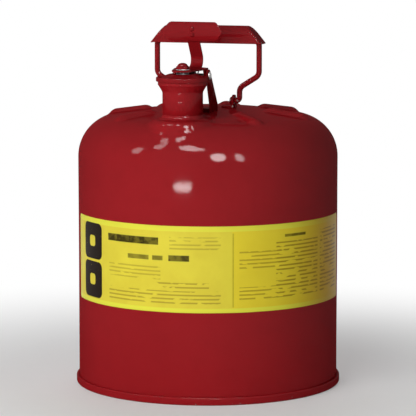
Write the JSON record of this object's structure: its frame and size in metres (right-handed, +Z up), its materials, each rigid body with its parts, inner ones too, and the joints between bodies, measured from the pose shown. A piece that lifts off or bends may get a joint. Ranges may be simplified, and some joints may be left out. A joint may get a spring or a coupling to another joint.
{
  "type": "safety gas can",
  "caption": "Round sheet-steel safety can with a domed ribbed top, self-closing pouring cap, squeeze trigger, flame arrester and swinging bail handle.",
  "frame": {"origin": "on the body's axis, at the ground under the rolled seam", "axes": "+Z up, the spout towards -Y, +X along the hinge of the bail and of the lever"},
  "size_m": [0.3034, 0.3034, 0.4165],
  "materials": {
    "red_paint": "glossy red powder coat",
    "yellow_label": "satin printed film",
    "zinc_steel": "zinc plated",
    "spring_steel": "plain spring wire",
    "steel_mesh": "woven stainless wire",
    "black_rubber": "matt"
  },
  "bodies": {
    "can": {"body_shell": "red_paint", "bottom_pan": "red_paint", "bottom_chime": "red_paint", "label_band": "yellow_label", "neck_collar": "red_paint", "spout_neck": "red_paint", "arrester_flange": "zinc_steel", "arrester_tube": "zinc_steel", "arrester_mesh": "steel_mesh", "arrester_end_cap": "zinc_steel", "hinge_bracket": "red_paint", "hinge_pin": "zinc_steel", "pin_clip": "spring_steel", "lever_spring": "spring_steel", "bail_lug_left": "red_paint", "bail_lug_right": "red_paint"},
    "lever": {"trigger_lever": "red_paint", "trigger_plate": "red_paint", "trigger_rivets": "red_paint", "relief_spring": "spring_steel"},
    "cap": {"cap_shell": "red_paint", "cap_gasket": "black_rubber", "gasket_retainer": "zinc_steel", "cap_stud": "zinc_steel", "stud_washer": "zinc_steel", "acorn_nut": "red_paint"},
    "bail": {"bail_wire": "red_paint", "grip": "red_paint"}
  },
  "joints": [
    {"name": "lever_squeeze", "type": "hinge", "parent": "can", "child": "lever", "pos_m": [0, -0.063, 0.35753], "axis": [-1, 0, 0], "range_deg": [0, 45], "stiffness_Nm_per_rad": 1.2, "springref_deg": -34.38, "deforming": ["lever_spring"]},
    {"name": "cap_relief", "type": "slide", "parent": "lever", "child": "cap", "axis": [0, 0, 1], "range_m": [0, 0.0015], "stiffness_N_per_m": 9000, "springref_m": -0.005, "deforming": ["relief_spring"]},
    {"name": "bail_swing", "type": "hinge", "parent": "can", "child": "bail", "pos_m": [0, 0, 0.32443], "axis": [-1, 0, 0], "range_deg": [0, 84]}
  ]
}
